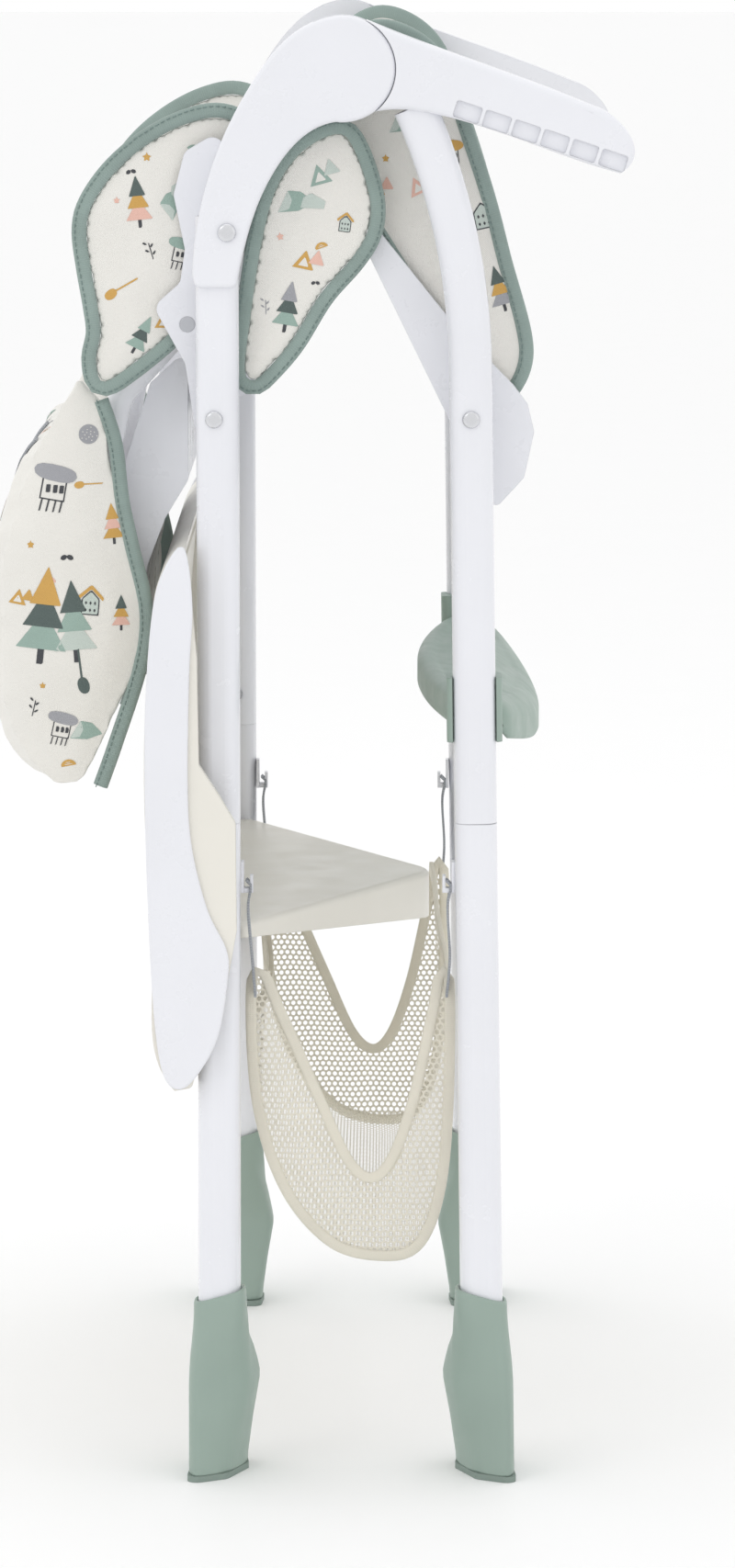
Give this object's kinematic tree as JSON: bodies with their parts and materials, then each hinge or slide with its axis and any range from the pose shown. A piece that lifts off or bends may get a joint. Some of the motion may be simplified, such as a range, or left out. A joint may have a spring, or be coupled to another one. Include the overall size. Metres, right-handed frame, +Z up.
{
  "type": "folding high chair",
  "caption": "Folding baby high chair shown folded: tube frame, split seat, hung backrest, stored tray, footrest and mesh basket.",
  "frame": {"origin": "on the floor under the middle of the folded chair", "axes": "+Z up, +X the chair's front, +Y to the chair's left; mirror plane Y = 0"},
  "size_m": [0.4079, 0.5642, 0.9245],
  "materials": {
    "white_tube": "gloss powder coat",
    "white_plastic": "smooth gloss",
    "cream_plastic": "smooth gloss",
    "sage_plastic": "satin",
    "sole_rubber": "matte",
    "rivet_chrome": "polished",
    "pin_steel": "zinc plated",
    "cover_fabric": "printed woven cover",
    "webbing": "woven webbing",
    "buckle_plastic": "moulded",
    "basket_mesh": "knitted mesh"
  },
  "bodies": {
    "rear_frame": {"rear_leg_near": "white_tube", "rear_leg_far": "white_tube", "rear_lower_leg_near": "white_tube", "rear_lower_leg_far": "white_tube", "rear_foot_near": "sage_plastic", "rear_foot_far": "sage_plastic", "rear_soles": "sole_rubber", "rear_leg_buttons": "pin_steel", "hub_housing_near": "white_plastic", "hub_housing_far": "white_plastic", "hub_pins": "pin_steel", "housing_rivets": "rivet_chrome", "rear_pivot_rivets": "rivet_chrome", "rear_brace": "cream_plastic", "rear_basket_hooks": "white_plastic", "tray_pegs": "white_plastic", "basket": "basket_mesh", "basket_loops": "webbing"},
    "front_frame": {"front_leg_near": "white_tube", "front_leg_far": "white_tube", "front_lower_leg_near": "white_tube", "front_lower_leg_far": "white_tube", "front_foot_near": "sage_plastic", "front_foot_far": "sage_plastic", "front_soles": "sole_rubber", "front_leg_buttons": "pin_steel", "armrest_near": "white_plastic", "armrest_far": "white_plastic", "front_pivot_rivets": "rivet_chrome", "front_cross_tube": "white_tube", "front_basket_hooks": "white_plastic"},
    "front_pan": {"front_seat_pan": "white_plastic", "front_seat_walls": "white_plastic", "front_seat_cushion": "cover_fabric", "crotch_strap": "webbing", "harness_buckle": "buckle_plastic"},
    "rear_pan": {"rear_seat_pan": "white_plastic", "recline_bracket_near": "white_plastic", "recline_bracket_far": "white_plastic", "rear_seat_cushion": "cover_fabric", "seat_side_flaps": "cover_fabric", "waist_straps": "webbing", "backrest_hinge_pins": "pin_steel"},
    "backrest": {"backrest_shell": "white_plastic", "backrest_frame": "white_tube", "backrest_cover": "cover_fabric", "shoulder_straps": "webbing"},
    "recline_handle": {"recline_handle": "white_plastic"},
    "tray": {"tray": "cream_plastic"},
    "footrest": {"footrest_board": "sage_plastic", "footrest_clips": "sage_plastic"},
    "fold_button_near": {"fold_button_near": "sage_plastic"},
    "fold_button_far": {"fold_button_far": "sage_plastic"}
  },
  "joints": [
    {"name": "fold", "type": "hinge", "parent": "rear_frame", "child": "front_frame", "pos_m": [0.0222, 0, 0.8915], "axis": [0, -1, 0], "range_deg": [0, 38.5]},
    {"name": "front_pan_fold", "type": "hinge", "parent": "front_frame", "child": "front_pan", "pos_m": [0.1026, 0, 0.6733], "axis": [0, -1, 0], "range_deg": [0, 37.6]},
    {"name": "rear_pan_fold", "type": "hinge", "parent": "rear_frame", "child": "rear_pan", "pos_m": [-0.0582, 0, 0.6733], "axis": [0, 1, 0], "range_deg": [0, 37.6]},
    {"name": "recline", "type": "hinge", "parent": "rear_pan", "child": "backrest", "pos_m": [-0.0756, 0, 0.7308], "axis": [0, 1, 0], "range_deg": [0, 94]},
    {"name": "recline_handle_squeeze", "type": "slide", "parent": "backrest", "child": "recline_handle", "axis": [0, 0, 1], "range_m": [0, 0.006], "stiffness_N_per_m": 400},
    {"name": "tray_unhook", "type": "slide", "parent": "rear_frame", "child": "tray", "axis": [0, 0, 1], "range_m": [0, 0.01]},
    {"name": "footrest_height", "type": "slide", "parent": "front_frame", "child": "footrest", "axis": [-0.0135, 0, 0.9999], "range_m": [-0.025, 0.09]},
    {"name": "fold_button_near_press", "type": "slide", "parent": "rear_frame", "child": "fold_button_near", "axis": [0, -1, 0], "range_m": [0, 0.004], "stiffness_N_per_m": 500},
    {"name": "fold_button_far_press", "type": "slide", "parent": "rear_frame", "child": "fold_button_far", "axis": [0, 1, 0], "range_m": [0, 0.004], "stiffness_N_per_m": 500}
  ],
  "couplings": [
    {"joint": "front_pan_fold", "follows": "fold", "ratio": 0.974},
    {"joint": "rear_pan_fold", "follows": "fold", "ratio": 0.974}
  ]
}
